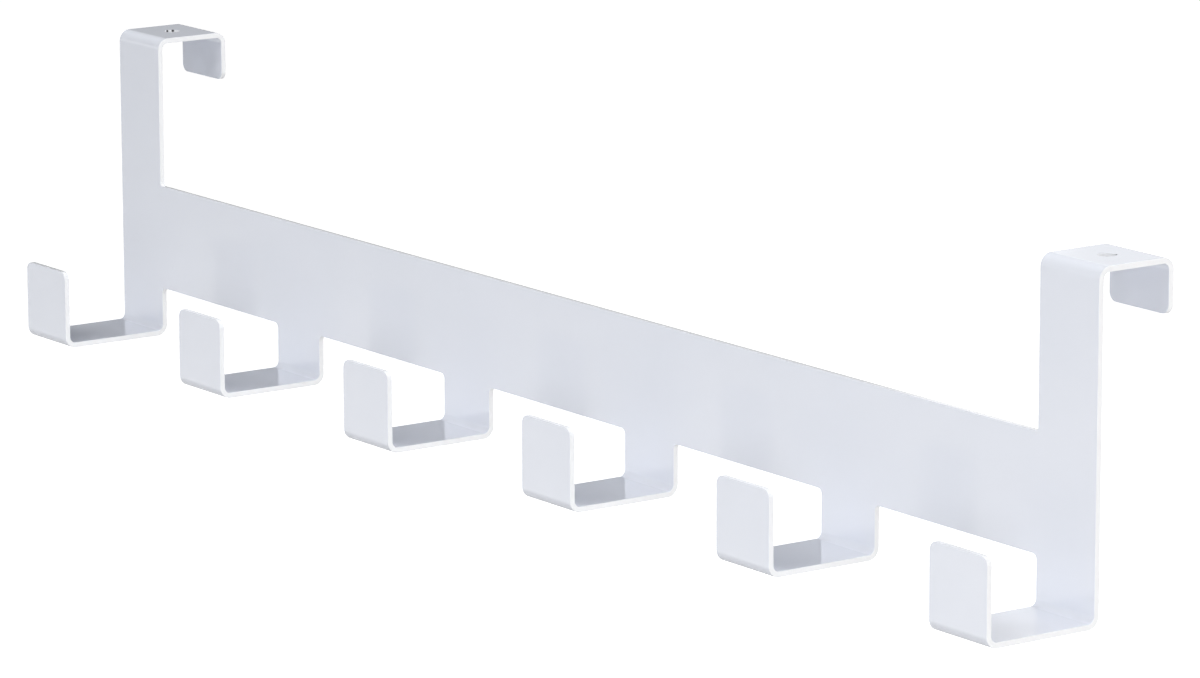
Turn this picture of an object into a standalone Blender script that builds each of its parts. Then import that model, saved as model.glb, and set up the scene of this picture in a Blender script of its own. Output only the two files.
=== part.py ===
"""Over-the-door hook rack, folded from one steel sheet and powder-coated white.

A flat rail carries six square J hooks below its bottom edge. At each end a strap rises from its top
edge, folds over the top of the door and ends in a short lip behind it. The rack is modelled as the
sections of its blank: the rail, two door brackets and six hooks, with a fine seam between them.

Metres, +Z up. X runs along the rail, +Y points at the door and -Y into the room. The origin is the
centre of the rail's back face, the face that lies on the door.
"""

import math

import bmesh
import bpy
from mathutils import Vector

# Sheet, its folds and its deburred edges
SHEET_THICKNESS = 0.0015
BEND_RADIUS = 0.0018  # inside of every fold
EDGE_ROUND = 0.0004  # rounding of the cut edges under the coating

# Rail
RAIL_LENGTH = 0.4500
RAIL_HEIGHT = 0.0308

# Door brackets
STRAP_WIDTH = 0.0220
STRAP_RISE = 0.0424  # from the rail's top edge to the top of the door
DOOR_GAP = 0.0204  # clear thickness for the door
LIP_DROP = 0.0128  # how far the lip reaches down behind the door
LIP_CORNER = 0.0025
STRAP_FILLET = 0.0008  # where the strap leaves the rail's top edge
HOLE_DIAMETER = 0.0045  # in the middle of the top plate

# Hooks
HOOK_COUNT = 6
HOOK_WIDTH = 0.0220
HOOK_DROP = 0.0128  # from the rail's bottom edge to the seat
HOOK_REACH = 0.0319  # clear depth of the seat, rail to flap
FLAP_HEIGHT = 0.0213  # above the seat
FLAP_CORNER = 0.0025
ROOT_FILLET = 0.0015  # where the hook leaves the rail's bottom edge

# Seams between the sections of the blank
SEAM_GAP = 0.0003
SEAM_LAND = 0.0010  # straight run between a fillet and the seam beyond it

# Shares and counts that set how finely round stretches are drawn
WALL_LIMIT_SHARE = 0.45  # the most of a wall that the rounding on each side of it may take
FOLD_STEPS = 8  # facets in a quarter turn of a fold
CORNER_STEPS = 5  # facets in a rounded corner or a fillet
EDGE_STEPS = 2  # facets in a rounded edge
HOLE_STEPS = 24  # facets round the hole
CUT_OVERRUN = 0.0010  # how far a cutter runs past the face that it cuts
SAME_PLACE = 0.00001  # points closer than this count as one
SHARP_ANGLE = math.radians(60)
SMOOTH_ANGLE = math.radians(35)

# Finish of the whole rack
COAT_COLOUR = (0.83, 0.86, 0.90, 1.0)
COAT_ROUGHNESS = 0.22
COAT_METALLIC = 0.0

# Places that follow from the sizes
RAIL_TOP = RAIL_HEIGHT / 2
RAIL_BOTTOM = -RAIL_HEIGHT / 2
HOOK_PITCH = (RAIL_LENGTH - HOOK_WIDTH) / (HOOK_COUNT - 1)
FIRST_HOOK_X = (HOOK_WIDTH - RAIL_LENGTH) / 2
STRAP_X = (RAIL_LENGTH - STRAP_WIDTH) / 2
UPPER_STUB = STRAP_FILLET + SEAM_LAND
LOWER_STUB = ROOT_FILLET + SEAM_LAND
ROUNDING = min(EDGE_ROUND, SHEET_THICKNESS * WALL_LIMIT_SHARE)


def clear_scene():
    """Removes the objects that the file holds, so that the rack stands alone."""
    for old in list(bpy.data.objects):
        bpy.data.objects.remove(old, do_unlink=True)


def coating(name):
    """A glossy white powder coat for one kind of piece."""
    material = bpy.data.materials.new(name)
    material.use_nodes = True
    shader = material.node_tree.nodes["Principled BSDF"]
    shader.inputs["Base Color"].default_value = COAT_COLOUR
    shader.inputs["Roughness"].default_value = COAT_ROUGHNESS
    shader.inputs["Metallic"].default_value = COAT_METALLIC
    return material


def within(radius, wall):
    """A corner's radius, held to its share of the wall that it rounds."""
    return min(radius, wall * WALL_LIMIT_SHARE)


def quarter(steps):
    """The angles of a quarter turn, from 0 to 90 degrees in equal steps."""
    return [math.radians(90) * step / steps for step in range(steps + 1)]


def arc_corner(corner, before, after, radius):
    """Points of a round corner between two straight edges that meet at a right angle.

    The centre lies one radius back along the first edge and one radius on along the second.
    """
    arriving = (corner - before).normalized()
    leaving = (after - corner).normalized()
    centre = corner + (leaving - arriving) * radius
    return [centre - leaving * radius * math.cos(angle) + arriving * radius * math.sin(angle)
            for angle in quarter(CORNER_STEPS)]


def rail_outline():
    """Outline of the flat rail in X and Z, with a stub at the root of each strap and hook."""
    end = RAIL_LENGTH / 2
    strap_inside = end - STRAP_WIDTH
    root = within(ROOT_FILLET, HOOK_PITCH - HOOK_WIDTH)
    corners = []
    for number in range(HOOK_COUNT):
        left = FIRST_HOOK_X + number * HOOK_PITCH - HOOK_WIDTH / 2
        right = left + HOOK_WIDTH
        if number > 0:
            corners.append((left, RAIL_BOTTOM, root))
        corners.append((left, RAIL_BOTTOM - LOWER_STUB, 0))
        corners.append((right, RAIL_BOTTOM - LOWER_STUB, 0))
        if number < HOOK_COUNT - 1:
            corners.append((right, RAIL_BOTTOM, root))
    corners.append((end, RAIL_TOP + UPPER_STUB, 0))
    corners.append((strap_inside, RAIL_TOP + UPPER_STUB, 0))
    corners.append((strap_inside, RAIL_TOP, STRAP_FILLET))
    corners.append((-strap_inside, RAIL_TOP, STRAP_FILLET))
    corners.append((-strap_inside, RAIL_TOP + UPPER_STUB, 0))
    corners.append((-end, RAIL_TOP + UPPER_STUB, 0))

    points = []
    for index, (x, z, radius) in enumerate(corners):
        here = Vector((x, z))
        if radius == 0:
            points.append(here)
            continue
        before = Vector(corners[index - 1][:2])
        after = Vector(corners[(index + 1) % len(corners)][:2])
        points.extend(arc_corner(here, before, after, radius))
    return points


def folded_section(inner):
    """Closed outline in Y and Z of a strip folded along the straight legs of its inner face.

    Each fold is a quarter ring round its own centre: the inner face at the bend radius and the
    outer face one sheet thickness further out.
    """
    legs = [(inner[i + 1] - inner[i]).normalized() for i in range(len(inner) - 1)]
    outward = [Vector((-leg.y, leg.x)) for leg in legs]
    inside = [inner[0]]
    outside = [inner[0] + outward[0] * SHEET_THICKNESS]
    for index in range(1, len(legs)):
        first, second = outward[index - 1], outward[index]
        centre = inner[index] - (first + second) * BEND_RADIUS
        for angle in quarter(FOLD_STEPS):
            spoke = first * math.cos(angle) + second * math.sin(angle)
            inside.append(centre + spoke * BEND_RADIUS)
            outside.append(centre + spoke * (BEND_RADIUS + SHEET_THICKNESS))
    inside.append(inner[-1])
    outside.append(inner[-1] + outward[-1] * SHEET_THICKNESS)
    return inside + outside[::-1]


def slab(points, depth):
    """A closed body between an outline and its copy, moved by the depth vector."""
    body = bmesh.new()
    face = body.faces.new([body.verts.new(point) for point in points])
    pulled = bmesh.ops.extrude_face_region(body, geom=[face])["geom"]
    moved = [item for item in pulled if isinstance(item, bmesh.types.BMVert)]
    bmesh.ops.translate(body, verts=moved, vec=depth)
    bmesh.ops.recalc_face_normals(body, faces=body.faces[:])
    return body


def on_seam(edge, seam_heights):
    """Whether an edge lies in the flat end where one section meets the next."""
    return any(all(abs(vert.co.z - height) < SAME_PLACE for vert in edge.verts)
               for height in seam_heights)


def round_edges(body, seam_heights):
    """Rounds every cut edge of the sheet, and leaves the ends at the seams square."""
    edges = [edge for edge in body.edges
             if edge.calc_face_angle() > SHARP_ANGLE and not on_seam(edge, seam_heights)]
    bmesh.ops.bevel(body, geom=edges, offset=ROUNDING, offset_type="OFFSET",
                    segments=EDGE_STEPS, profile=0.5, affect="EDGES")


def round_end(body, height, radius):
    """Rounds the two corners at a strip's free end, seen square to its last leg."""
    edges = [edge for edge in body.edges
             if all(abs(vert.co.z - height) < SAME_PLACE for vert in edge.verts)
             and abs(edge.verts[0].co.x - edge.verts[1].co.x) < SAME_PLACE]
    bmesh.ops.bevel(body, geom=edges, offset=radius, offset_type="OFFSET",
                    segments=CORNER_STEPS, profile=0.5, affect="EDGES")


def finish_mesh(body, name, material):
    """Turns a finished body into a smooth-shaded mesh with its coating."""
    mesh = bpy.data.meshes.new(name)
    body.to_mesh(mesh)
    body.free()
    mesh.shade_smooth()
    mesh.set_sharp_from_angle(angle=SMOOTH_ANGLE)
    mesh.materials.append(material)
    return mesh


def place(name, mesh, location, parent):
    """Adds one named piece at its location, under the rack's empty."""
    piece = bpy.data.objects.new(name, mesh)
    bpy.context.scene.collection.objects.link(piece)
    piece.parent = parent
    piece.location = location
    return piece


def rail_mesh(material):
    """The flat rail: its outline, one sheet thick from the door towards the room."""
    outline = [Vector((point.x, 0, point.y)) for point in rail_outline()]
    body = slab(outline, Vector((0, -SHEET_THICKNESS, 0)))
    round_edges(body, (RAIL_TOP + UPPER_STUB, RAIL_BOTTOM - LOWER_STUB))
    return finish_mesh(body, "rail_plate", material)


def strip_mesh(name, inner, width, end_corner, material):
    """A folded strip, centred across its width, with its free end's corners rounded."""
    section = [Vector((-width / 2, point.x, point.y)) for point in folded_section(inner)]
    body = slab(section, Vector((width, 0, 0)))
    last_leg = (inner[-1] - inner[-2]).length - BEND_RADIUS
    round_end(body, inner[-1].y, within(end_corner, min(width, last_leg)))
    round_edges(body, (inner[0].y,))
    return finish_mesh(body, name, material)


def bracket_mesh(material):
    """Strap, top plate and lip; its zero height is the rail's top edge."""
    inner = [Vector((0, UPPER_STUB + SEAM_GAP)),
             Vector((0, STRAP_RISE)),
             Vector((DOOR_GAP, STRAP_RISE)),
             Vector((DOOR_GAP, STRAP_RISE - LIP_DROP))]
    return strip_mesh("door_bracket", inner, STRAP_WIDTH, LIP_CORNER, material)


def hook_mesh(material):
    """Root, seat and flap of a J hook; its zero height is the rail's bottom edge."""
    front = -SHEET_THICKNESS
    inner = [Vector((front, -LOWER_STUB - SEAM_GAP)),
             Vector((front, -HOOK_DROP)),
             Vector((front - HOOK_REACH, -HOOK_DROP)),
             Vector((front - HOOK_REACH, FLAP_HEIGHT - HOOK_DROP))]
    return strip_mesh("hook", inner, HOOK_WIDTH, FLAP_CORNER, material)


def hole_cutter_mesh():
    """A turned plug for the hole, flared at both mouths so that its rim comes out rounded."""
    bore = HOLE_DIAMETER / 2
    mouth = bore + ROUNDING
    profile = [(0, -CUT_OVERRUN), (mouth, -CUT_OVERRUN)]
    for angle in quarter(EDGE_STEPS):
        profile.append((mouth - ROUNDING * math.sin(angle), ROUNDING * (1 - math.cos(angle))))
    for angle in reversed(quarter(EDGE_STEPS)):
        rise = SHEET_THICKNESS - ROUNDING * (1 - math.cos(angle))
        profile.append((mouth - ROUNDING * math.sin(angle), rise))
    profile += [(mouth, SHEET_THICKNESS + CUT_OVERRUN), (0, SHEET_THICKNESS + CUT_OVERRUN)]

    body = bmesh.new()
    verts = [body.verts.new((radius, 0, height)) for radius, height in profile]
    edges = [body.edges.new(pair) for pair in zip(verts, verts[1:])]
    bmesh.ops.spin(body, geom=verts + edges, cent=(0, 0, 0), axis=(0, 0, 1),
                   angle=math.radians(360), steps=HOLE_STEPS)
    bmesh.ops.remove_doubles(body, verts=body.verts[:], dist=SAME_PLACE)
    bmesh.ops.recalc_face_normals(body, faces=body.faces[:])
    mesh = bpy.data.meshes.new("hole_cutter")
    body.to_mesh(mesh)
    body.free()
    return mesh


def drill(piece, cutter_mesh, height):
    """Cuts the hole through the middle of a bracket's top plate."""
    cutter = place(piece.name + "_hole_cutter", cutter_mesh, (0, DOOR_GAP / 2, height), piece)
    cutter.hide_render = True
    cutter.display_type = "WIRE"
    cut = piece.modifiers.new("hole", "BOOLEAN")
    cut.operation = "DIFFERENCE"
    cut.solver = "EXACT"
    cut.object = cutter


def build():
    """Makes the rack: the rail, the two door brackets and the row of hooks."""
    clear_scene()
    rack = bpy.data.objects.new("rack", None)
    bpy.context.scene.collection.objects.link(rack)

    place("rail_plate", rail_mesh(coating("rail_coat")), (0, 0, 0), rack)

    bracket = bracket_mesh(coating("bracket_coat"))
    cutter = hole_cutter_mesh()
    for side, x in (("left", -STRAP_X), ("right", STRAP_X)):
        piece = place(side + "_door_bracket", bracket, (x, 0, RAIL_TOP), rack)
        drill(piece, cutter, STRAP_RISE)

    hook = hook_mesh(coating("hook_coat"))
    for number in range(HOOK_COUNT):
        x = FIRST_HOOK_X + number * HOOK_PITCH
        place(f"hook_{number + 1}", hook, (x, 0, RAIL_BOTTOM), rack)


build()
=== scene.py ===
"""Looks of a white hook rack that hangs over a door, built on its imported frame.

The real rack is one steel sheet, cut flat, folded and powder coated. So every piece here is worked
out on the flat blank first, as points with a place across the strip, along it and through the
sheet, and is then folded along a route of straight runs and bends. All lengths are in metres: X
runs along the rail, the back of the rail lies on Y = 0 against the door, and Z is up.
"""

import enum
import logging
import math
from dataclasses import dataclass, field

import bpy
import numpy as np
from mathutils import Matrix, Vector


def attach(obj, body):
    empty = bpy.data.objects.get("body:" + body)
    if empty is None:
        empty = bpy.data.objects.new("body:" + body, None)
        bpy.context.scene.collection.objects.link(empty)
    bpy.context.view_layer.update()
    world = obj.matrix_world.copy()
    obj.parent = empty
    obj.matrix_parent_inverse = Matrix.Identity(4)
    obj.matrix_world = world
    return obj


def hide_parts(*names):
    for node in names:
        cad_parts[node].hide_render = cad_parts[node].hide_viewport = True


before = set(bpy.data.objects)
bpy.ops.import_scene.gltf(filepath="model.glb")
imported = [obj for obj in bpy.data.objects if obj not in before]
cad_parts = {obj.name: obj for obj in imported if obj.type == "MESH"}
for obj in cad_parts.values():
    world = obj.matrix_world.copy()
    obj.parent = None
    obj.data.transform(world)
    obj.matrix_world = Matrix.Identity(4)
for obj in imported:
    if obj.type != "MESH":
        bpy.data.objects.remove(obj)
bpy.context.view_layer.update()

LOG = logging.getLogger("hook_rack")
BODY = "root"
RIGHT_ANGLE = math.pi / 2
WELD_GRID = 1e-7
COLUMN_DECIMALS = 9
CUT_EDGE = "cut_edge"
WHITE = "#FFFFFF"
WARM = "#FFF8F0"
SRGB_KNEE = 0.04045
SRGB_SLOPE = 12.92
SRGB_OFFSET = 0.055
SRGB_POWER = 2.4


def linear_colour(code: str) -> tuple[float, float, float, float]:
    """Turns an sRGB hex colour into Blender's linear colour.

    Up to the knee of the sRGB curve a level is divided by the slope, and above it the curve is a
    power of the level and its offset.

    Args:
        code: the colour as six hex digits after a #.

    Returns:
        Red, green, blue and an alpha of 1, all linear.
    """
    levels = np.array([int(code[i : i + 2], 16) for i in (1, 3, 5)]) / 255
    low = levels / SRGB_SLOPE
    high = ((levels + SRGB_OFFSET) / (1 + SRGB_OFFSET)) ** SRGB_POWER
    red, green, blue = np.where(levels <= SRGB_KNEE, low, high)
    return float(red), float(green), float(blue), 1.0


def add_node(
    tree: bpy.types.NodeTree,
    kind: str,
    settings: dict[str, str] | None = None,
    **inputs: float | tuple[float, ...] | bpy.types.NodeSocket,
) -> bpy.types.Node:
    """Adds one node, with its settings, its constants and its links.

    Args:
        tree: the node tree that takes it.
        kind: Blender's name for the node's type.
        settings: the node's own properties by name.
        inputs: a value or another node's output for each input. The name is the input's own, with
            _ for a space, or in_0, in_1 and so on for its place.

    Returns:
        The new node.
    """
    node = tree.nodes.new(kind)
    for name, value in (settings or {}).items():
        setattr(node, name, value)
    for name, value in inputs.items():
        key = int(name[3:]) if name.startswith("in_") else name.replace("_", " ")
        if isinstance(value, bpy.types.NodeSocket):
            tree.links.new(value, node.inputs[key])
        else:
            node.inputs[key].default_value = value
    return node


class Face(enum.Enum):
    """The two faces of the sheet: the depth share of each and the way that it looks."""

    INSIDE = (0.0, -1.0)
    OUTSIDE = (1.0, 1.0)


class Hand(enum.Enum):
    """The left or right end of the rack, as seen from the front."""

    LEFT = -1
    RIGHT = 1


@dataclass(frozen=True)
class Patch:
    """A grid of surface points, each with the way that the surface faces there.

    where and facing hold (rows, columns, 3). On the blank the three numbers are across, along and
    depth, and after folding they are X, Y and Z. cut holds (rows, columns): 0 on a face, 1 on the
    middle of a cut edge.
    """

    where: np.ndarray
    facing: np.ndarray
    cut: np.ndarray


@dataclass(frozen=True)
class Sheet:
    """The steel sheet with its coat, and how finely its surface is drawn."""

    thickness: float = 0.0015
    fold_radius: float = 0.0018
    edge_round: float = 0.0001
    edge_steps: int = 4
    fold_steps: int = 20
    corner_steps: int = 10
    across_steps: int = 16
    run_steps: int = 4

    def edge_profile(self) -> np.ndarray:
        """Draws the section of a cut edge from the inside face to the outside face.

        A quarter circle leaves each face and the two meet in a short straight wall. At the turn t
        of the first quarter the point lies round * sin t outwards and round * (1 - cos t) deep,
        and the second quarter is its mirror image.

        Returns:
            Rows of offset outwards, depth, and the outward and depth parts of the normal.
        """
        turn = np.linspace(0, RIGHT_ANGLE, self.edge_steps + 1)
        out, lift = np.sin(turn), 1 - np.cos(turn)
        first = np.stack([self.edge_round * out, self.edge_round * lift, out, lift - 1], axis=-1)
        mirrored = first[::-1] * (1, -1, 1, -1) + (0, self.thickness, 0, 0)
        return np.concatenate([first, mirrored])

    def flat(self, across: np.ndarray, along: np.ndarray, face: Face) -> Patch:
        """Lays a grid of blank points on one face of the sheet.

        Args:
            across: the place of each point across the blank.
            along: its place along the blank, in the same grid.
            face: the face that the points lie on.

        Returns:
            The grid as a patch of the blank.
        """
        depth_share, look = face.value
        depth = np.full(across.shape, depth_share * self.thickness)
        facing = np.broadcast_to((0.0, 0.0, look), (*across.shape, 3))
        return Patch(np.stack([across, along, depth], axis=-1), facing, np.zeros(across.shape))

    def edge(self, path: np.ndarray, outward: np.ndarray) -> Patch:
        """Carries the edge profile along the border of a face.

        Each profile point is moved out from the border point along the border's own outward
        direction, and down by its depth.

        Args:
            path: (points, 2) border of the flat face, which lies edge_round inside the cut.
            outward: (points, 2) unit directions out of the sheet.

        Returns:
            The cut edge as a patch of the blank.
        """
        profile = self.edge_profile()
        shape = (len(path), len(profile), 3)
        where, facing = np.empty(shape), np.empty(shape)
        where[..., :2] = path[:, None] + outward[:, None] * profile[None, :, :1]
        where[..., 2] = profile[:, 1]
        facing[..., :2] = outward[:, None] * profile[None, :, 2:3]
        facing[..., 2] = profile[:, 3]
        return Patch(where, facing, np.broadcast_to(profile[:, 2], shape[:2]))

    def seam(self, across: np.ndarray, along: float, look: float) -> Patch:
        """Closes the sheet with its flat section, where one piece meets the next.

        The section is a grid of two rows: the inside half of the outline, from one rounded side
        to the other, and its mirror image on the outside.

        Args:
            across: the columns of the flat face at this end, from low to high.
            along: where the seam lies on the blank.
            look: 1 where the seam looks along the strip, and -1 where it looks back.

        Returns:
            The section as a patch of the blank.
        """
        half = self.edge_profile()[1 : self.edge_steps + 1]
        low = across[0] - half[::-1, 0]
        high = across[-1] + half[:, 0]
        columns = np.concatenate([low, across, high])
        depth = np.concatenate([half[::-1, 1], np.zeros(len(across)), half[:, 1]])
        cut = np.concatenate([half[::-1, 2], np.zeros(len(across)), half[:, 2]])
        rows = np.stack([depth, self.thickness - depth])
        where = np.stack(np.broadcast_arrays(columns, along, rows), axis=-1)
        facing = np.broadcast_to((0.0, look, 0.0), where.shape)
        return Patch(where, facing, np.broadcast_to(cut, rows.shape))


@dataclass(frozen=True)
class Route:
    """The way of the sheet's inside face through the Y-Z plane, as straight runs and bends.

    The heading is the angle of travel from +Y towards +Z. Each bend turns right by its angle round
    a centre one fold radius to the right, and the outside face lies one thickness to the left.
    """

    middle: float
    start: tuple[float, float]
    heading: float
    runs: tuple[float, ...]
    bends: tuple[float, ...]
    radius: float

    def headings(self, along: np.ndarray) -> np.ndarray:
        """Gives the angle of travel: the heading less the part of each bend that lies behind.

        Args:
            along: places along the blank.

        Returns:
            The angle of travel at each place.
        """
        angle = np.full(along.shape, self.heading)
        done = 0.0
        for run, bend in zip(self.runs, self.bends):
            angle = angle - np.clip((along - done - run) / self.radius, 0, bend)
            done += run + bend * self.radius
        return angle

    def points(self, along: np.ndarray) -> np.ndarray:
        """Gives the place in the Y-Z plane of points on the inside face.

        A run adds its length along the heading. A bend that has turned by t adds radius times the
        difference of the left-hand normals after and before it.

        Args:
            along: places along the blank.

        Returns:
            Y and Z of each place, in the last axis.
        """
        place = np.broadcast_to(np.array(self.start), (*along.shape, 2)).copy()
        angle, done = self.heading, 0.0
        for step, run in enumerate(self.runs):
            last = step == len(self.bends)
            first = -np.inf if step == 0 else 0.0
            travel = np.clip(along - done, first, np.inf if last else run)
            place += travel[..., None] * np.array([math.cos(angle), math.sin(angle)])
            if last:
                break
            turned = np.clip((along - done - run) / self.radius, 0, self.bends[step])
            after = np.stack([-np.sin(angle - turned), np.cos(angle - turned)], axis=-1)
            before = np.array([-math.sin(angle), math.cos(angle)])
            place += self.radius * (after - before)
            angle -= self.bends[step]
            done += run + self.bends[step] * self.radius
        return place

    def fold(self, patch: Patch) -> Patch:
        """Folds a patch of the blank into its place in the rack.

        The point goes to the inside face's place, plus its depth along the left-hand normal.
        Across the blank stays along X.

        Args:
            patch: a patch in blank coordinates.

        Returns:
            The patch in the rack's X, Y and Z.
        """
        along = patch.where[..., 1]
        angle = self.headings(along)
        travel = np.stack([np.cos(angle), np.sin(angle)], axis=-1)
        normal = np.stack([-np.sin(angle), np.cos(angle)], axis=-1)
        where, facing = np.empty(patch.where.shape), np.empty(patch.where.shape)
        where[..., 0] = self.middle + patch.where[..., 0]
        where[..., 1:] = self.points(along) + patch.where[..., 2:] * normal
        facing[..., 0] = patch.facing[..., 0]
        facing[..., 1:] = patch.facing[..., 1:2] * travel + patch.facing[..., 2:] * normal
        return Patch(where, facing, patch.cut)


def weld(name: str, patches: list[Patch]) -> bpy.types.Object:
    """Joins patches into one closed mesh whose normals are the worked-out ones.

    Points of different patches that share a place become one vertex. A quad whose corner order
    runs against its normals is turned round, and each corner keeps its own patch's normal.

    Args:
        name: the new piece's name.
        patches: folded patches whose borders meet point on point.

    Returns:
        The new object, linked to the scene, with a cut-edge attribute for its finish.
    """
    points = np.concatenate([p.where.reshape(-1, 3) for p in patches])
    facing = np.concatenate([p.facing.reshape(-1, 3) for p in patches])
    cut = np.concatenate([p.cut.reshape(-1) for p in patches])
    quads, first = [], 0
    for patch in patches:
        rows, columns = patch.cut.shape
        index = np.arange(rows * columns).reshape(rows, columns) + first
        corners = [index[:-1, :-1], index[:-1, 1:], index[1:, 1:], index[1:, :-1]]
        quads.append(np.stack(corners, axis=-1).reshape(-1, 4))
        first += rows * columns
    corners = np.concatenate(quads)
    at = points[corners]
    normal = np.cross(at[:, 2] - at[:, 0], at[:, 3] - at[:, 1])
    against = np.einsum("ij,ij->i", normal, facing[corners].sum(axis=1)) < 0
    corners[against] = corners[against][:, ::-1]
    keys = np.round(points / WELD_GRID).astype(np.int64)
    _, chosen, merged = np.unique(keys, axis=0, return_index=True, return_inverse=True)
    mesh = bpy.data.meshes.new(name)
    mesh.from_pydata(points[chosen].tolist(), [], merged.reshape(-1)[corners].tolist())
    cut_share = mesh.attributes.new(CUT_EDGE, "FLOAT", "POINT")
    cut_share.data.foreach_set("value", cut[chosen].astype(np.float32))
    mesh.shade_smooth()
    mesh.normals_split_custom_set(facing[corners].reshape(-1, 3).tolist())
    mesh.update()
    piece = bpy.data.objects.new(name, mesh)
    bpy.context.scene.collection.objects.link(piece)
    return piece


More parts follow.
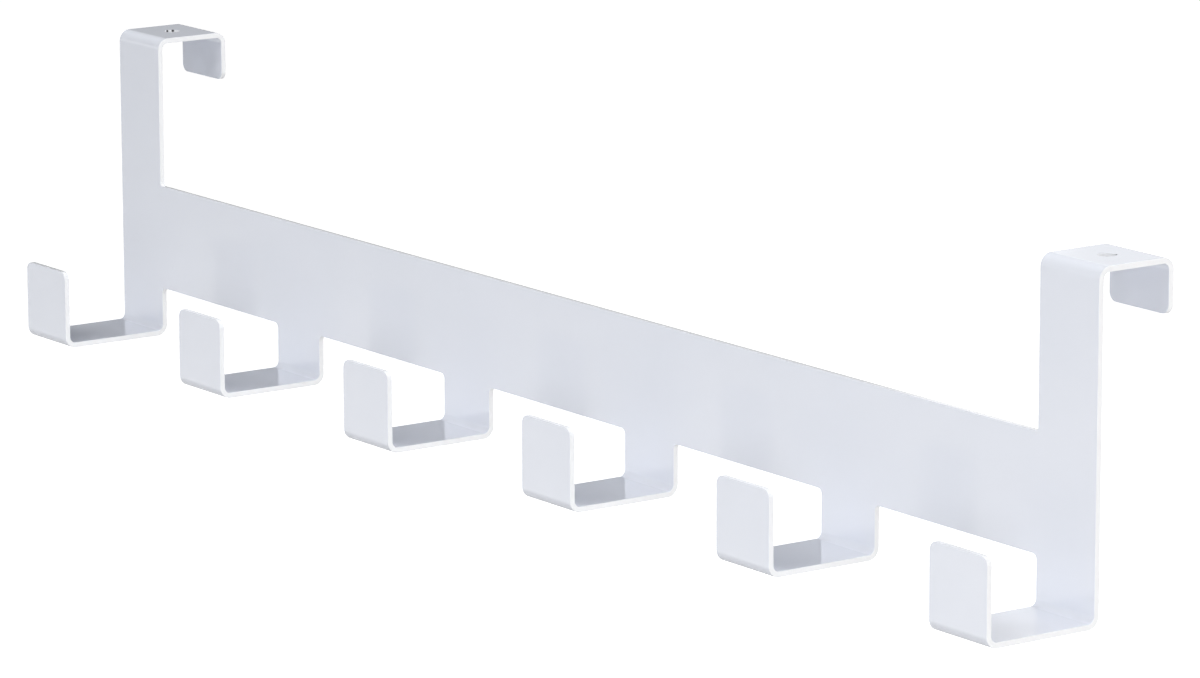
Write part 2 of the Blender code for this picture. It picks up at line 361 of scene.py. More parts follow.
@dataclass(frozen=True)
class PowderCoat:
    """Glossy white polyester powder coat, sprayed on folded steel and cured in an oven.

    The pigment gives a clean, slightly cool white. The melted powder levels to a high gloss, but
    not quite: it keeps a faint orange peel a few millimetres across, and the rolled sheet below it
    is not perfectly flat, so that reflections of straight edges waver a little. It pulls away from
    the cut edges as it melts, which leaves them a touch thinner and duller, and the cut edges are
    painted a touch lighter as well, a painted highlight for the light that they catch. Cured
    polyester has an index of refraction of about 1.5. The walls of the two holes carry a few dark,
    dull metallic spots, which are painted shade where the walls lie in shadow. A few specks of dust
    below the film stand out as low nibs.
    """

    name: str = "white_polyester_powder_coat"
    body: str = "#E8EBF3"
    body_shade: str = "#E3E7F0"
    # Painted highlight: the cut edges are a touch lighter than the body, for the light that they catch.
    edge: str = "#ECEEF1"
    gloss_low: float = 0.07
    gloss_high: float = 0.12
    edge_roughness: float = 0.12
    edge_from: float = 0.55
    index: float = 1.52
    peel_width: float = 0.0024
    peel_height: float = 0.0000016
    peel_detail: float = 1.0
    grain_width: float = 0.0006
    grain_height: float = 0.00000025
    sheet_wave: float = 0.045
    sheet_height: float = 0.00003
    cloud_width: float = 0.03
    cloud_detail: float = 2.0
    cloud_low: float = 0.3
    cloud_high: float = 0.7
    # Painted shade: dark, dull metallic spots on the walls of the two holes, where the walls lie in
    # shadow.
    painted_hole_shade_spots: tuple[tuple[float, float, float], ...] = (
        (-0.21621, 0.00979, 0.05905),
        (-0.21593, 0.01157, 0.05905),
        (0.21513, 0.01217, 0.0590),
    )
    hole_shade_core: float = 0.0002
    hole_shade_radius: float = 0.00055
    # Colour and roughness of the painted shade spots in the holes.
    hole_shade_colour: str = "#3C3A3D"
    hole_shade_roughness: float = 0.45
    nibs: tuple[tuple[float, float, float], ...] = (
        (-0.19645, -0.0015, -0.00816),
        (-0.10346, -0.0015, 0.00946),
        (-0.08965, -0.0015, 0.00678),
        (-0.04566, -0.0015, 0.00909),
        (-0.01287, -0.0015, -0.01260),
    )
    nib_radius: float = 0.0009
    nib_height: float = 0.00004

    def spots(
        self,
        tree: bpy.types.NodeTree,
        place: bpy.types.NodeSocket,
        points: tuple[tuple[float, float, float], ...],
        core: float,
        radius: float,
    ) -> bpy.types.NodeSocket:
        """Marks a round spot at each of some points.

        Args:
            tree: the node tree to add to.
            place: the Object coordinates.
            points: the middles of the spots.
            core: the distance up to which a spot is whole.
            radius: the distance at which it has faded out.

        Returns:
            1 in the spots and 0 away from them.
        """
        found = None
        for point in points:
            away = add_node(
                tree, "ShaderNodeVectorMath", {"operation": "DISTANCE"}, in_0=place, in_1=point
            ).outputs["Value"]
            spot = add_node(
                tree,
                "ShaderNodeMapRange",
                {"interpolation_type": "SMOOTHSTEP"},
                Value=away,
                From_Min=core,
                From_Max=radius,
                To_Min=1.0,
                To_Max=0.0,
            ).outputs[0]
            if found is not None:
                spot = add_node(
                    tree, "ShaderNodeMath", {"operation": "MAXIMUM"}, in_0=found, in_1=spot
                ).outputs[0]
            found = spot
        return found

    def build(self) -> bpy.types.Material:
        """Builds the coat's shader on Object coordinates.

        Returns:
            The material.
        """
        material = bpy.data.materials.new(self.name)
        material.use_nodes = True
        tree = material.node_tree
        tree.nodes.clear()
        place = add_node(tree, "ShaderNodeTexCoord").outputs["Object"]
        cut = add_node(tree, "ShaderNodeAttribute", {"attribute_name": CUT_EDGE}).outputs["Fac"]
        cloud = add_node(
            tree,
            "ShaderNodeTexNoise",
            Vector=place,
            Scale=1 / self.cloud_width,
            Detail=self.cloud_detail,
        ).outputs["Fac"]
        colour = add_node(
            tree,
            "ShaderNodeMix",
            {"data_type": "RGBA"},
            in_0=cloud,
            in_6=linear_colour(self.body),
            in_7=linear_colour(self.body_shade),
        ).outputs[2]
        roughness = add_node(
            tree,
            "ShaderNodeMapRange",
            Value=cloud,
            From_Min=self.cloud_low,
            From_Max=self.cloud_high,
            To_Min=self.gloss_low,
            To_Max=self.gloss_high,
        ).outputs[0]
        # The cut edges get a painted highlight, a touch lighter, and a duller coat.
        lit_and_dull_edge = add_node(tree, "ShaderNodeMapRange", Value=cut, From_Min=self.edge_from).outputs[0]
        # Painted shade on the hole walls, as dark, dull metallic spots.
        hole_shade = self.spots(tree, place, self.painted_hole_shade_spots, self.hole_shade_core, self.hole_shade_radius)
        for share, shade, dullness in (
            (lit_and_dull_edge, self.edge, self.edge_roughness),
            (hole_shade, self.hole_shade_colour, self.hole_shade_roughness),
        ):
            colour = add_node(
                tree,
                "ShaderNodeMix",
                {"data_type": "RGBA"},
                in_0=share,
                in_6=colour,
                in_7=linear_colour(shade),
            ).outputs[2]
            roughness = add_node(
                tree, "ShaderNodeMix", {"data_type": "FLOAT"}, in_0=share, in_2=roughness, in_3=dullness
            ).outputs[0]
        nib = self.spots(tree, place, self.nibs, 0.0, self.nib_radius)
        normal = add_node(tree, "ShaderNodeBump", Height=nib, Distance=self.nib_height).outputs[0]
        for width, height, detail in (
            (self.sheet_wave, self.sheet_height, 0.0),
            (self.peel_width, self.peel_height, self.peel_detail),
            (self.grain_width, self.grain_height, 0.0),
        ):
            noise = add_node(tree, "ShaderNodeTexNoise", Vector=place, Scale=1 / width, Detail=detail)
            normal = add_node(
                tree, "ShaderNodeBump", Height=noise.outputs["Fac"], Distance=height, Normal=normal
            ).outputs[0]
        shader = add_node(
            tree,
            "ShaderNodeBsdfPrincipled",
            Base_Color=colour,
            Metallic=hole_shade,
            Roughness=roughness,
            IOR=self.index,
            Normal=normal,
        )
        add_node(tree, "ShaderNodeOutputMaterial", Surface=shader.outputs["BSDF"])
        return material


def dress(piece: bpy.types.Object, coat: bpy.types.Material, node: str) -> None:
    """Gives a finished piece its coat and its place in the frame.

    Args:
        piece: the finished piece.
        coat: its material.
        node: the CAD node that it stands for.
    """
    piece.data.materials.append(coat)
    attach(piece, BODY)
    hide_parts(node)
    triangles = sum(len(polygon.vertices) - 2 for polygon in piece.data.polygons)
    LOG.info("%s stands for %s: %d triangles", piece.name, node, triangles)


@dataclass(frozen=True)
class Strip:
    """A strip of the sheet that starts at a seam, is folded twice and ends free with round corners."""

    sheet: Sheet
    route: Route
    width: float
    corner: float
    hole_diameter: float = 0.0

    def rows(self) -> tuple[np.ndarray, np.ndarray, np.ndarray]:
        """Sets out the rows of the flat face and its border on the high side.

        The border runs straight beside the strip and then round the corner on a quarter circle,
        whose radius is the corner's less the edge rounding.

        Returns:
            The place of each row along the blank, the face's half width there, and the direction
            out of the sheet on the high side.
        """
        sheet, route = self.sheet, self.route
        half = self.width / 2 - sheet.edge_round
        places, done = [np.zeros(1)], 0.0
        for step, run in enumerate(route.runs):
            free = run - self.corner if step == len(route.bends) else run
            places.append(done + np.linspace(0, free, sheet.run_steps + 1)[1:])
            done += run
            if step < len(route.bends):
                turn = route.bends[step] * route.radius
                places.append(done + np.linspace(0, turn, sheet.fold_steps + 1)[1:])
                done += turn
        side = np.concatenate(places)
        turn = np.linspace(0, RIGHT_ANGLE, sheet.corner_steps + 1)[1:]
        inner = self.corner - sheet.edge_round
        along = np.concatenate([side, done - self.corner + inner * np.sin(turn)])
        widths = np.concatenate([np.full(len(side), half), half - inner + inner * np.cos(turn)])
        angle = np.concatenate([np.zeros(len(side)), turn])
        return along, widths, np.stack([np.cos(angle), np.sin(angle)], axis=-1)

    def faces(self, face: Face) -> list[Patch]:
        """Covers one face with a grid, and leaves the hole out where there is one.

        Args:
            face: the face to cover.

        Returns:
            Patches of the blank.
        """
        along, widths, _ = self.rows()
        share = np.linspace(-1, 1, self.sheet.across_steps + 1)
        across = widths[:, None] * share
        whole = np.broadcast_to(along[:, None], across.shape)
        if not self.hole_diameter:
            return [self.sheet.flat(across, whole, face)]
        first, last = self.plate_rows()
        before = self.sheet.flat(across[: first + 1], whole[: first + 1], face)
        after = self.sheet.flat(across[last:], whole[last:], face)
        return [before, self.ring_round_hole(face), after]

    def hole_circle(self, border: np.ndarray, centre: np.ndarray) -> tuple[np.ndarray, np.ndarray]:
        """Finds the point of the hole's border that each outer border point looks at.

        Args:
            border: (points, 2) outer border.
            centre: the hole's centre on the blank.

        Returns:
            The points on the circle one edge rounding outside the hole, and their directions.
        """
        reach = border - centre
        direction = reach / np.linalg.norm(reach, axis=-1, keepdims=True)
        return centre + direction * (self.hole_diameter / 2 + self.sheet.edge_round), direction

    def plate_rows(self) -> tuple[int, int]:
        """Gives the rows where the flat plate between the two bends begins and ends."""
        first = self.sheet.run_steps + self.sheet.fold_steps
        return first, first + self.sheet.run_steps

    def plate_border(self) -> tuple[np.ndarray, np.ndarray]:
        """Walks round the flat plate between the two bends.

        Returns:
            (points, 2) border that ends where it starts, and the plate's centre.
        """
        first, last = self.plate_rows()
        along, widths, _ = self.rows()
        half = widths[first]
        columns = half * np.linspace(-1, 1, self.sheet.across_steps + 1)
        up = along[first : last + 1]
        near = np.stack([columns, np.full(len(columns), up[0])], axis=-1)
        high = np.stack([np.full(len(up), half), up], axis=-1)
        far = np.stack([columns, np.full(len(columns), up[-1])], axis=-1)
        low = high * (-1, 1)
        border = np.concatenate([near, high[1:], far[::-1][1:], low[::-1][1:]])
        return border, np.array([0.0, (up[0] + up[-1]) / 2])

    def ring_round_hole(self, face: Face) -> Patch:
        """Fills the plate with rings that turn from its border into the hole's circle.

        At the share f a ring point is (1 - f) of the border point plus f of the circle point.

        Args:
            face: the face to cover.

        Returns:
            The ring-shaped patch of the blank.
        """
        border, centre = self.plate_border()
        circle, _ = self.hole_circle(border, centre)
        share = np.linspace(0, 1, self.sheet.run_steps + 1)[:, None, None]
        ring = border * (1 - share) + circle * share
        return self.sheet.flat(ring[..., 0], ring[..., 1], face)

    def patches(self) -> list[Patch]:
        """Gathers the strip's whole surface on the blank: faces, cut edge, hole wall and seam.

        Returns:
            Patches of the blank whose borders meet.
        """
        sheet = self.sheet
        along, widths, out = self.rows()
        share = np.linspace(-1, 1, sheet.across_steps + 1)
        high = np.stack([widths, along], axis=-1)
        end = np.stack([widths[-1] * share[::-1], np.full(len(share), along[-1])], axis=-1)[1:-1]
        end_out = np.broadcast_to((0.0, 1.0), end.shape)
        border = np.concatenate([high, end, (high * (-1, 1))[::-1]])
        outward = np.concatenate([out, end_out, (out * (-1, 1))[::-1]])
        found = [*self.faces(Face.INSIDE), *self.faces(Face.OUTSIDE), sheet.edge(border, outward)]
        found.append(sheet.seam(widths[0] * share, along[0], -1.0))
        if self.hole_diameter:
            circle, direction = self.hole_circle(*self.plate_border())
            found.append(sheet.edge(circle, -direction))
        return found

    def build(self, name: str) -> bpy.types.Object:
        """Builds the strip as one closed mesh in its place."""
        return weld(name, [self.route.fold(patch) for patch in self.patches()])


@dataclass(frozen=True)
class RailPlate:
    """The flat bar, with the short stubs that the brackets and the hooks go on from."""

    sheet: Sheet
    length: float = 0.4500
    height: float = 0.0308
    strip_width: float = 0.0220
    upper_seam: float = 0.01735
    lower_seam: float = -0.01805
    upper_fillet: float = 0.0008
    lower_fillet: float = 0.0015
    hook_count: int = 6
    node: str = "rail_plate"

    def hook_middles(self) -> np.ndarray:
        """Gives the X of each hook: evenly spaced, the outer two flush with the rail's ends."""
        reach = (self.length - self.strip_width) / 2
        return np.linspace(-reach, reach, self.hook_count)

    def fillet(self, upper: bool) -> tuple[np.ndarray, np.ndarray, np.ndarray]:
        """Draws the border from a stub's seam down its side and round the fillet to the rail's edge.

        With the turn t from a right angle down to 0, the point lies (fillet + edge rounding) *
        sin t beside the fillet's centre and the same times cos t beyond it.

        Args:
            upper: True for the fillets under the brackets, False for those over the hooks.

        Returns:
            For a stub that ends at 0 and whose gap lies at higher X: X, Z and the direction out.
        """
        radius = self.upper_fillet if upper else self.lower_fillet
        way = 1.0 if upper else -1.0
        turn = np.linspace(RIGHT_ANGLE, 0, self.sheet.corner_steps + 1)
        reach = radius + self.sheet.edge_round
        beside = radius - reach * np.sin(turn)
        level = way * (self.height / 2 + radius - reach * np.cos(turn))
        seam = self.upper_seam if upper else self.lower_seam
        x = np.concatenate([[beside[0]], beside])
        z = np.concatenate([[seam], level])
        angle = np.concatenate([[RIGHT_ANGLE], turn])
        return x, z, np.stack([np.sin(angle), way * np.cos(angle)], axis=-1)

    def gap(self, low: float, high: float, upper: bool) -> Patch:
        """Carries the cut edge down one stub, along the rail and up the next stub.

        Args:
            low: X where the stub on the low side ends.
            high: X where the stub on the high side begins.
            upper: True for the rail's top edge.

        Returns:
            The cut edge as a patch of the blank.
        """
        x, z, out = self.fillet(upper)
        columns = self.columns()
        between = columns[(columns > low + x[-1] + WELD_GRID) & (columns < high - x[-1] - WELD_GRID)]
        straight = np.stack([between, np.full(len(between), z[-1])], axis=-1)
        leaving = np.stack([low + x, z], axis=-1)
        arriving = np.stack([high - x, z], axis=-1)
        path = np.concatenate([leaving, straight, arriving[::-1]])
        up = np.repeat(out[-1:], len(between), axis=0)
        outward = np.concatenate([out, up, (out * (-1, 1))[::-1]])
        return self.sheet.edge(path, outward)

    def stubs(self) -> list[tuple[float, bool]]:
        """Lists every stub, the upper two first.

        Returns:
            The middle of each stub, and whether it stands on the rail's top edge.
        """
        middles = self.hook_middles()
        upper = [(float(middles[0]), True), (float(middles[-1]), True)]
        return upper + [(float(middle), False) for middle in middles]

    def borders(self, middle: float, upper: bool) -> tuple[np.ndarray, np.ndarray, np.ndarray]:
        """Gives the flat face's low and high border on each row of a stub.

        Args:
            middle: the stub's middle.
            upper: whether it stands on the top edge.

        Returns:
            Z of each row, from the rail to the seam, and X of both borders. A stub that is flush
            with the rail's end has a straight border there.
        """
        x, z, _ = self.fillet(upper)
        beside, rows = x[::-1], z[::-1]
        half, limit = self.strip_width / 2, self.length / 2
        flush = np.full(len(rows), -self.sheet.edge_round)
        low = middle - half - (flush if middle - half < WELD_GRID - limit else beside)
        high = middle + half + (flush if middle + half > limit - WELD_GRID else beside)
        return rows, low, high

    def columns(self) -> np.ndarray:
        """Lists the X of every stub border on the rail's face, in order and once each."""
        ends = [border[0] for stub in self.stubs() for border in self.borders(*stub)[1:]]
        return np.unique(np.round(ends, COLUMN_DECIMALS))

    def column_shares(self, low: float, high: float) -> np.ndarray:
        """Finds the rail's columns between the two borders of a stub.

        Args:
            low: X of the stub's low border on the rail's face.
            high: X of its high border there.

        Returns:
            Each column as a share of the way from the low border to the high one.
        """
        columns = self.columns()
        inside = columns[(columns > low - WELD_GRID) & (columns < high + WELD_GRID)]
        return (inside - low) / (high - low)

    def faces(self, face: Face) -> list[Patch]:
        """Covers one face: a ruled grid on the bar, and one on each stub.

        Args:
            face: the face to cover.

        Returns:
            Patches of the blank.
        """
        level = self.height / 2 - self.sheet.edge_round
        x, z = np.meshgrid(self.columns(), np.linspace(-level, level, 2))
        found = [self.sheet.flat(x, z, face)]
        for middle, upper in self.stubs():
            rows, low, high = self.borders(middle, upper)
            x = low[:, None] + (high - low)[:, None] * self.column_shares(low[0], high[0])
            z = np.broadcast_to(rows[:, None], x.shape)
            found.append(self.sheet.flat(x, z, face))
        return found

    def ends(self) -> list[Patch]:
        """Runs the cut edge up both ends of the rail, from seam to seam.

        Returns:
            One patch of the blank for each end.
        """
        upper = self.borders(*self.stubs()[0])[0]
        lower = self.borders(*self.stubs()[-1])[0]
        z = np.concatenate([lower[::-1], upper])
        found = []
        for hand in Hand:
            x = np.full(len(z), hand.value * (self.length / 2 - self.sheet.edge_round))
            outward = np.broadcast_to((float(hand.value), 0.0), (len(z), 2))
            found.append(self.sheet.edge(np.stack([x, z], axis=-1), outward))
        return found

    def seams(self) -> list[Patch]:
        """Closes every stub at its seam.

        Returns:
            One patch of the blank for each stub.
        """
        found = []
        for middle, upper in self.stubs():
            rows, low, high = self.borders(middle, upper)
            across = low[-1] + (high[-1] - low[-1]) * self.column_shares(low[0], high[0])
            found.append(self.sheet.seam(across, float(rows[-1]), 1.0 if upper else -1.0))
        return found

    def build(self, coat: bpy.types.Material) -> bpy.types.Object:
        """Builds the rail with its stubs as one closed mesh and dresses it.

        Args:
            coat: the finish.

        Returns:
            The finished piece.
        """
        half = self.strip_width / 2
        middles = self.hook_middles()
        patches = self.faces(Face.INSIDE) + self.faces(Face.OUTSIDE) + self.ends() + self.seams()
        patches.append(self.gap(middles[0] + half, middles[-1] - half, True))
        for low, high in zip(middles, middles[1:]):
            patches.append(self.gap(low + half, high - half, False))
        route = Route(0.0, (0.0, 0.0), RIGHT_ANGLE, (self.length,), (), self.sheet.fold_radius)
        piece = weld("coated_rail", [route.fold(patch) for patch in patches])
        dress(piece, coat, self.node)
        return piece


@dataclass(frozen=True)
class DoorBracket:
    """Strap, top plate and lip: the sheet goes up the door, over its top and down behind it."""

    sheet: Sheet
    hand: Hand
    middle: float
    seam: float
    door_top: float = 0.0578
    door_gap: float = 0.0204
    lip_drop: float = 0.0128
    width: float = 0.0220
    corner: float = 0.0025
    hole_diameter: float = 0.0045

    def build(self, coat: bpy.types.Material) -> bpy.types.Object:
        """Builds the bracket as one folded strip and dresses it.

        Args:
            coat: the finish.

        Returns:
            The finished piece.
        """
        radius = self.sheet.fold_radius
        runs = (self.door_top - radius - self.seam, self.door_gap - 2 * radius, self.lip_drop - radius)
        bends = (RIGHT_ANGLE, RIGHT_ANGLE)
        route = Route(self.hand.value * self.middle, (0.0, self.seam), RIGHT_ANGLE, runs, bends, radius)
        side = self.hand.name.lower()
        strip = Strip(self.sheet, route, self.width, self.corner, self.hole_diameter)
        piece = strip.build(f"coated_{side}_bracket")
        dress(piece, coat, f"{side}_door_bracket")
        return piece


@dataclass(frozen=True)
class Hook:
    """Root, seat and flap: the sheet goes down from the rail, forwards and up again."""

    sheet: Sheet
    number: int
    middle: float
    seam: float
    seat_level: float = -0.0282
    reach: float = 0.0319
    flap_height: float = 0.0213
    width: float = 0.0220
    corner: float = 0.0025

    def build(self, coat: bpy.types.Material) -> bpy.types.Object:
        """Builds the hook as one folded strip and dresses it.

        Args:
            coat: the finish.

        Returns:
            The finished piece.
        """
        radius = self.sheet.fold_radius
        runs = (self.seam - self.seat_level - radius, self.reach - 2 * radius, self.flap_height - radius)
        bends = (RIGHT_ANGLE, RIGHT_ANGLE)
        start = (-self.sheet.thickness, self.seam)
        route = Route(self.middle, start, -RIGHT_ANGLE, runs, bends, radius)
        piece = Strip(self.sheet, route, self.width, self.corner).build(f"coated_hook_{self.number}")
        dress(piece, coat, f"hook_{self.number}")
        return piece


@dataclass(frozen=True)
class HookRack:
    """The whole rack: one rail, two brackets and its row of hooks, all of one sheet and one coat."""

    sheet: Sheet = field(default_factory=Sheet)
    finish: PowderCoat = field(default_factory=PowderCoat)

    def build(self) -> list[bpy.types.Object]:
        """Builds and dresses every piece.

        Returns:
            The pieces, from the rail outwards.
        """
        coat = self.finish.build()
        rail = RailPlate(self.sheet)
        middles = rail.hook_middles()
        pieces = [rail.build(coat)]
        for hand in Hand:
            pieces.append(DoorBracket(self.sheet, hand, float(middles[-1]), rail.upper_seam).build(coat))
        for number, middle in enumerate(middles, start=1):
            pieces.append(Hook(self.sheet, number, float(middle), rail.lower_seam).build(coat))
        return pieces


@dataclass(frozen=True)
class Softbox:
    """A large cloth-fronted lamp that looks at one point. Its power is in watts."""

    name: str
    place: tuple[float, float, float]
    width: float
    height: float
    power: float
    aim: tuple[float, float, float] = (0.0, 0.0, 0.0)
    colour: str = WHITE

    def build(self) -> bpy.types.Object:
        """Builds the lamp, which lights the rack but is neither seen nor mirrored.

        Returns:
            The lamp object.
        """
        lamp = bpy.data.lights.new(self.name, "AREA")
        lamp.shape = "RECTANGLE"
        lamp.size = self.width
        lamp.size_y = self.height
        lamp.energy = self.power
        lamp.color = linear_colour(self.colour)[:3]
        holder = bpy.data.objects.new(self.name, lamp)
        holder.location = self.place
        look = Vector(self.aim) - Vector(self.place)
        holder.rotation_euler = look.to_track_quat("-Z", "Y").to_euler()
        holder.visible_camera = False
        holder.visible_glossy = False
        bpy.context.scene.collection.objects.link(holder)
        return holder


@dataclass(frozen=True)
class Flag:
    """A dark cloth card that glossy surfaces mirror and nothing else meets.

    Low and high are two opposite corners of the card, which stands upright or lies level. Its cloth
    is as close as its density says, and thins out to nothing along X from one place to the other.
    Both lie past the card unless they are given.
    """

    name: str
    low: tuple[float, float, float]
    high: tuple[float, float, float]
    density: float
    thins_from: float = 2.0
    thins_to: float = 3.0
    colour: str = "#050505"

    def dress(self, card: bpy.types.Object) -> None:
        """Gives the card its cloth and hides it from all but glossy rays.

        Args:
            card: the stage card that is to be the flag.
        """
        material = bpy.data.materials.new(f"{self.name}_cloth")
        material.use_nodes = True
        tree = material.node_tree
        tree.nodes.clear()
        place = add_node(tree, "ShaderNodeTexCoord").outputs["Object"]
        across = add_node(tree, "ShaderNodeSeparateXYZ", Vector=place).outputs["X"]
        close = add_node(
            tree,
            "ShaderNodeMapRange",
            {"interpolation_type": "SMOOTHSTEP"},
            Value=across,
            From_Min=self.thins_from,
            From_Max=self.thins_to,
            To_Min=self.density,
            To_Max=0.0,
        ).outputs[0]
        cloth = add_node(tree, "ShaderNodeBsdfDiffuse", Color=linear_colour(self.colour)).outputs[0]
        clear = add_node(tree, "ShaderNodeBsdfTransparent").outputs[0]
        both = add_node(tree, "ShaderNodeMixShader", in_0=close, in_1=clear, in_2=cloth).outputs[0]
        add_node(tree, "ShaderNodeOutputMaterial", Surface=both)
        card.data.materials.append(material)
        card.visible_camera = False
        card.visible_diffuse = False
        card.visible_shadow = False


@dataclass(frozen=True)
class Studio:
    """A pale floor well below the rack, a white surround, soft lamps and dark flags."""

    floor_level: float = -0.35
    floor_reach: float = 30.0
    floor_colour: str = "#E6E6E6"
    shadow_from: float = 0.4
    shadow_to: float = 0.8
    near_glow: float = 0.3
    far_glow: float = 0.92
    unlit_from: float = 2.5
    unlit_to: float = 7.0
    unlit_glow: float = 0.08
    mirrored_floor_from: float = -1.25
    mirrored_floor_to: float = -0.82
    mirrored_far_floor: float = 0.05
    mirrored_near_floor: float = 0.95
    mirrored_surround: float = 1.0
    ambient: str = WHITE
    ambient_strength: float = 0.05
    flags: tuple[Flag, ...] = (
        Flag("rear_flag", (-1.9, 0.7, 0.02), (-0.6, 0.7, 0.6), 1.0, thins_from=-0.77, thins_to=-0.69),
        Flag("thin_flag", (-0.66, 0.7, 0.02), (1.0, 0.7, 0.6), 0.4, thins_from=-0.6, thins_to=-0.65),
        Flag("high_flag", (-5.0, -5.0, 0.6), (1.0, 0.7, 0.6), 1.0),
        Flag("low_flag", (-1.5, -0.3, -0.34), (0.15, 0.9, -0.34), 0.55, thins_from=0.05, thins_to=0.15),
    )
    lamps: tuple[Softbox, ...] = (
        Softbox("high_front_softbox", (0.1, -1.0, 1.5), width=1.2, height=0.9, power=16.0),
        Softbox("high_rear_softbox", (0.0, 0.9, 1.4), width=1.4, height=0.8, power=16.0),
        Softbox("high_right_softbox", (1.1, 0.0, 1.2), width=1.0, height=0.8, power=7.7),
        Softbox("front_left_softbox", (-0.9, -1.4, 0.6), width=1.0, height=0.8, power=2.9),
        Softbox("front_right_softbox", (2.2, -1.6, 0.3), width=1.2, height=0.8, power=21.0),
        Softbox("right_rear_softbox", (1.0, 0.7, 0.1), width=0.7, height=0.7, power=2.4, colour=WARM),
        Softbox(
            "right_reflector",
            (0.95, -0.25, -0.12),
            width=0.6,
            height=0.35,
            power=0.6,
            aim=(0.1, 0.0, 0.0),
            colour=WARM,
        ),
        Softbox(
            "floor_bounce", (0.2, -0.9, -0.34), width=1.6, height=0.9, power=2.0, aim=(0.1, -0.1, 0.0)
        ),
    )

    def seen_directly(
        self, tree: bpy.types.NodeTree, mirrored: float | bpy.types.NodeSocket
    ) -> bpy.types.NodeSocket:
        """Tells the rays that show the background from those that carry light.

        Args:
            tree: the node tree to add to.
            mirrored: how much of the background a glossy ray meets.

        Returns:
            1 for camera and transmission rays, the mirrored share for glossy rays, 0 for the others.
        """
        rays = add_node(tree, "ShaderNodeLightPath").outputs
        seen = add_node(
            tree, "ShaderNodeMath", {"operation": "MULTIPLY"}, in_0=rays["Is Glossy Ray"], in_1=mirrored
        ).outputs[0]
        for kind in ("Is Camera Ray", "Is Transmission Ray"):
            seen = add_node(
                tree, "ShaderNodeMath", {"operation": "MAXIMUM"}, in_0=rays[kind], in_1=seen
            ).outputs[0]
        return seen

    def build_world(self) -> None:
        """Builds the surround: white where it is seen, a plain level where it lights."""
        world = bpy.data.worlds.new("studio_surround")
        world.use_nodes = True
        tree = world.node_tree
        tree.nodes.clear()
        light = add_node(
            tree,
            "ShaderNodeBackground",
            Color=linear_colour(self.ambient),
            Strength=self.ambient_strength,
        ).outputs[0]
        shown = add_node(
            tree, "ShaderNodeBackground", Color=linear_colour(WHITE), Strength=1.0
        ).outputs[0]
        seen = self.seen_directly(tree, self.mirrored_surround)
        both = add_node(tree, "ShaderNodeMixShader", in_0=seen, in_1=light, in_2=shown).outputs[0]
        add_node(tree, "ShaderNodeOutputWorld", Surface=both)
        bpy.context.scene.world = world

    def card(
        self, name: str, low: tuple[float, float, float], high: tuple[float, float, float]
    ) -> bpy.types.Object:
        """Builds one flat stage card, upright along X or level.

        Args:
            name: the card's name.
            low: its corner with the lowest X, Y and Z.
            high: the corner opposite that one.

        Returns:
            The card.
        """
        (left, front, bottom), (right, back, top) = low, high
        corners = [(left, front, bottom), (right, front, bottom), (right, back, top), (left, back, top)]
        mesh = bpy.data.meshes.new(name)
        mesh.from_pydata(corners, [], [(0, 1, 2, 3)])
        holder = bpy.data.objects.new(name, mesh)
        bpy.context.scene.collection.objects.link(holder)
        return holder

    def build_floor(self) -> None:
        """Builds the pale floor, which glows where it is seen.

        It glows less near the rack's shadow, and a little more where the lamps no longer reach. The
        coat mirrors it bright below the rack, and dark far in front of it.
        """
        reach, level = self.floor_reach, self.floor_level
        floor = self.card("studio_floor", (-reach, -reach, level), (reach, reach, level))
        material = bpy.data.materials.new("matt_white_floor")
        material.use_nodes = True
        tree = material.node_tree
        tree.nodes.clear()
        place = add_node(tree, "ShaderNodeTexCoord").outputs["Object"]
        away = add_node(
            tree, "ShaderNodeVectorMath", {"operation": "DISTANCE"}, in_0=place, in_1=(0.0, 0.0, level)
        ).outputs["Value"]
        glow = add_node(
            tree,
            "ShaderNodeMapRange",
            {"interpolation_type": "SMOOTHSTEP"},
            Value=away,
            From_Min=self.shadow_from,
            From_Max=self.shadow_to,
            To_Min=self.near_glow,
            To_Max=self.far_glow,
        ).outputs[0]
        unlit = add_node(
            tree,
            "ShaderNodeMapRange",
            Value=away,
            From_Min=self.unlit_from,
            From_Max=self.unlit_to,
            To_Min=0.0,
            To_Max=self.unlit_glow,
        ).outputs[0]
        glow = add_node(tree, "ShaderNodeMath", {"operation": "ADD"}, in_0=glow, in_1=unlit).outputs[0]
        depth = add_node(tree, "ShaderNodeSeparateXYZ", Vector=place).outputs["Y"]
        mirrored = add_node(
            tree,
            "ShaderNodeMapRange",
            Value=depth,
            From_Min=self.mirrored_floor_from,
            From_Max=self.mirrored_floor_to,
            To_Min=self.mirrored_far_floor,
            To_Max=self.mirrored_near_floor,
        ).outputs[0]
        seen = self.seen_directly(tree, mirrored)
        shown = add_node(
            tree, "ShaderNodeMath", {"operation": "MULTIPLY"}, in_0=glow, in_1=seen
        ).outputs[0]
        matt = add_node(tree, "ShaderNodeBsdfDiffuse", Color=linear_colour(self.floor_colour)).outputs[0]
        light = add_node(
            tree, "ShaderNodeEmission", Color=linear_colour(WHITE), Strength=shown
        ).outputs[0]
        both = add_node(tree, "ShaderNodeAddShader", in_0=matt, in_1=light).outputs[0]
        add_node(tree, "ShaderNodeOutputMaterial", Surface=both)
        floor.data.materials.append(material)

    def build(self) -> None:
        """Builds the surround, the floor, the flags and the lamps."""
        self.build_world()
        self.build_floor()
        for flag in self.flags:
            flag.dress(self.card(flag.name, flag.low, flag.high))
        for lamp in self.lamps:
            lamp.build()
        LOG.info("studio: floor, %d flags and %d lamps", len(self.flags), len(self.lamps))


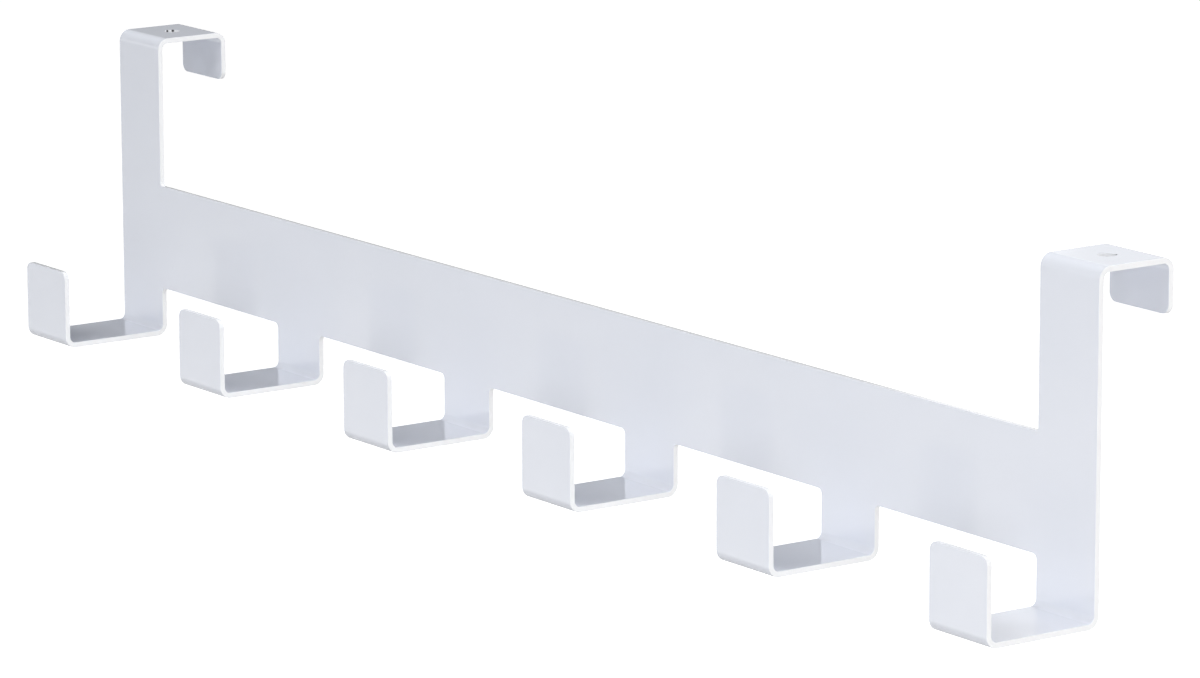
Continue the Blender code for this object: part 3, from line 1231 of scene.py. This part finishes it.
@dataclass(frozen=True)
class Viewpoint:
    """Where the photograph was taken from: a long lens, from the right and a little above."""

    place: tuple[float, float, float] = (1.29475, -0.91246, 0.33698)
    aim: tuple[float, float, float] = (0.01851, 0.0, 0.00658)
    lens: float = 180.0
    roll_degrees: float = -0.12

    def build(self) -> bpy.types.Object:
        """Builds the camera and makes it the scene's own.

        Returns:
            The camera object.
        """
        data = bpy.data.cameras.new("viewpoint")
        data.lens = self.lens
        holder = bpy.data.objects.new("viewpoint", data)
        look = (Vector(self.aim) - Vector(self.place)).to_track_quat("-Z", "Y").to_matrix()
        roll = Matrix.Rotation(math.radians(self.roll_degrees), 3, "Z")
        holder.rotation_euler = (look @ roll).to_euler()
        holder.location = self.place
        bpy.context.scene.collection.objects.link(holder)
        bpy.context.scene.camera = holder
        return holder


def main() -> None:
    """Builds the rack, the studio and the camera, in that order."""
    logging.basicConfig(level=logging.INFO, format="%(message)s")
    bpy.context.scene.view_settings.view_transform = "Standard"
    pieces = HookRack().build()
    LOG.info("rack: %d pieces", len(pieces))
    Studio().build()
    Viewpoint().build()


if __name__ == "__main__":
    main()
